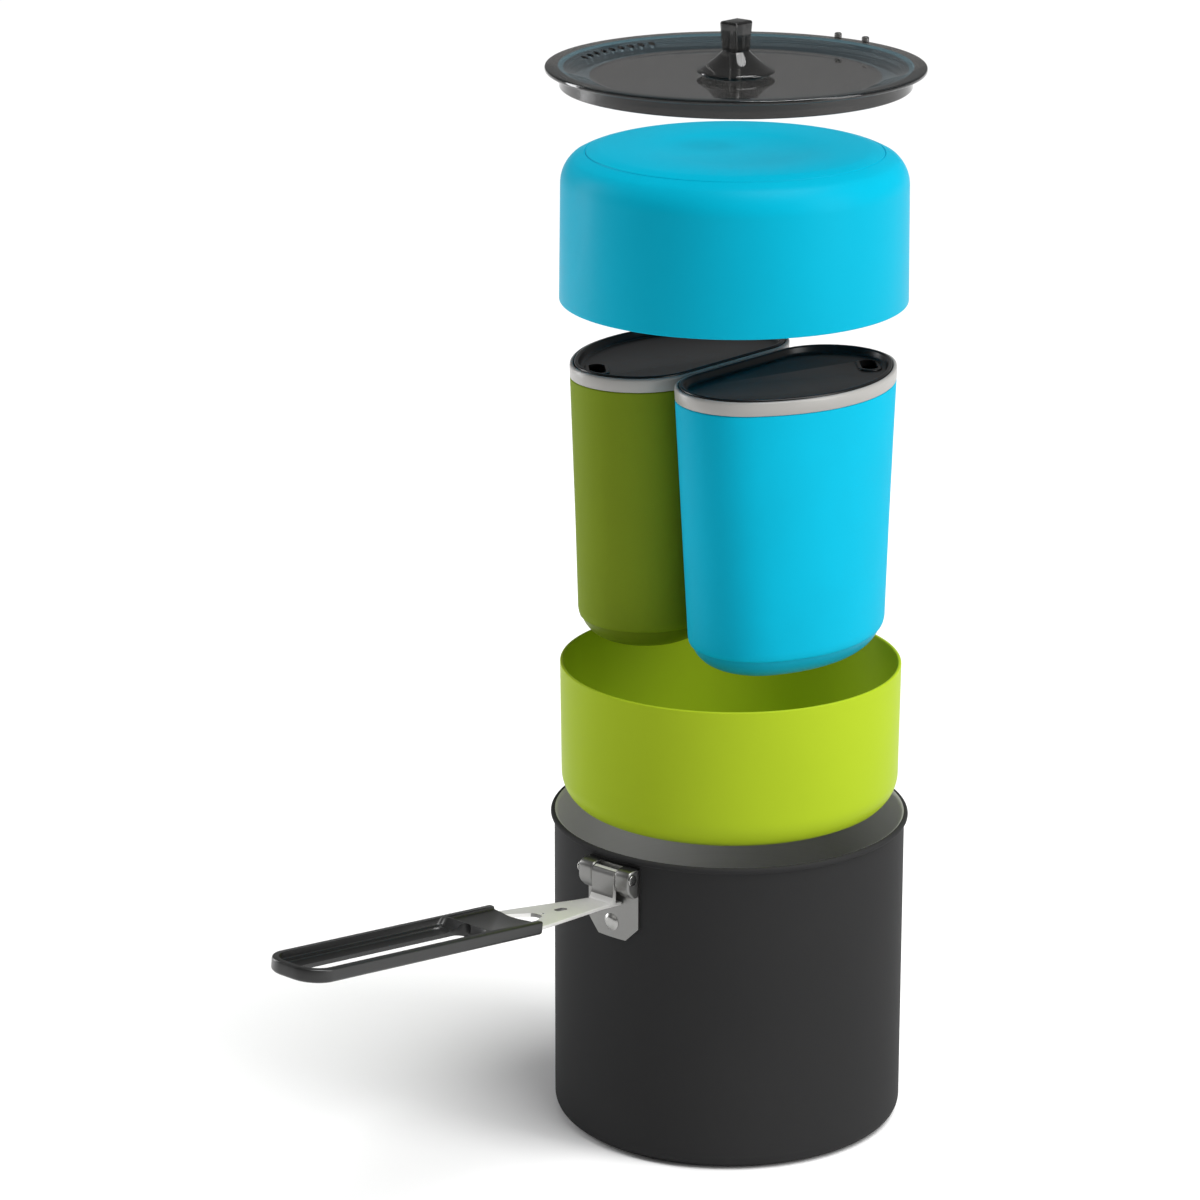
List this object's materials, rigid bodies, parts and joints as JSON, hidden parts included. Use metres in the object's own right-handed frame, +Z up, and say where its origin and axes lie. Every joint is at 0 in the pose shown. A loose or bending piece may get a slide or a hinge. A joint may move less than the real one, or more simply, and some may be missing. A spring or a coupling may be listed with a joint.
{
  "type": "camping cook set",
  "caption": "Nesting camp cook set lifted apart: pot with fold-up side handle, strainer lid, moulded bowls and D-shaped insulated mugs with sip lids.",
  "frame": {"origin": "centre of the pot's underside, on the table", "axes": "+Z up along the pot's axis, -X towards the tip of the pot handle, the mugs' flat sides face each other across Y = 0, the blue mug on -Y and the green mug on +Y"},
  "size_m": [0.3314, 0.1502, 0.457],
  "materials": {
    "pot_anodised": "matte hard-anodised",
    "steel": "satin stamped steel",
    "rivet_steel": "satin",
    "yoke_steel": "bright stamped steel",
    "grip_black": "satin moulded",
    "smoke_clear": "smoky see-through",
    "smoke_knob": "smoky see-through",
    "bowl_green": "satin moulded",
    "bowl_blue": "satin moulded",
    "mug_rim_grey": "satin moulded",
    "sleeve_blue": "smooth foam sleeve",
    "sleeve_green": "smooth foam sleeve",
    "foot_blue": "satin moulded",
    "foot_green": "satin moulded",
    "mug_lid_black": "satin moulded"
  },
  "bodies": {
    "pot": {"pot_shell": "pot_anodised", "handle_bracket": "steel", "bracket_rivets": "rivet_steel", "hinge_pin": "rivet_steel"},
    "handle": {"handle_yoke": "yoke_steel", "handle_grip": "grip_black"},
    "lower_bowl": {"green_bowl": "bowl_green"},
    "green_mug": {"green_mug_cup": "mug_rim_grey", "green_mug_sleeve": "sleeve_green", "green_mug_foot": "foot_green"},
    "blue_mug": {"blue_mug_cup": "mug_rim_grey", "blue_mug_sleeve": "sleeve_blue", "blue_mug_foot": "foot_blue"},
    "green_mug_cover": {"green_mug_lid": "mug_lid_black"},
    "blue_mug_cover": {"blue_mug_lid": "mug_lid_black"},
    "upper_bowl": {"blue_bowl": "bowl_blue"},
    "lid": {"pot_lid": "smoke_clear", "lid_knob": "smoke_knob", "knob_screw": "rivet_steel"}
  },
  "joints": [
    {"name": "handle_fold", "type": "hinge", "parent": "pot", "child": "handle", "pos_m": [-0.0763, 0, 0.1232], "axis": [0, 1, 0], "range_deg": [0, 92]},
    {"name": "lower_bowl_lift", "type": "slide", "parent": "pot", "child": "lower_bowl", "axis": [0, 0, 1], "range_m": [-0.1325, 0]},
    {"name": "green_mug_lift", "type": "slide", "parent": "lower_bowl", "child": "green_mug", "axis": [0, 0, 1], "range_m": [-0.0678, 0]},
    {"name": "blue_mug_lift", "type": "slide", "parent": "lower_bowl", "child": "blue_mug", "axis": [0, 0, 1], "range_m": [-0.0678, 0]},
    {"name": "green_mug_lid_lift", "type": "slide", "parent": "green_mug", "child": "green_mug_cover", "axis": [0, 0, 1], "range_m": [0, 0.02]},
    {"name": "blue_mug_lid_lift", "type": "slide", "parent": "blue_mug", "child": "blue_mug_cover", "axis": [0, 0, 1], "range_m": [0, 0.02]},
    {"name": "upper_bowl_lift", "type": "slide", "parent": "green_mug", "child": "upper_bowl", "axis": [0, 0, 1], "range_m": [-0.0803, 0]},
    {"name": "pot_lid_lift", "type": "slide", "parent": "upper_bowl", "child": "lid", "axis": [0, 0, 1], "range_m": [-0.0261, 0]}
  ]
}
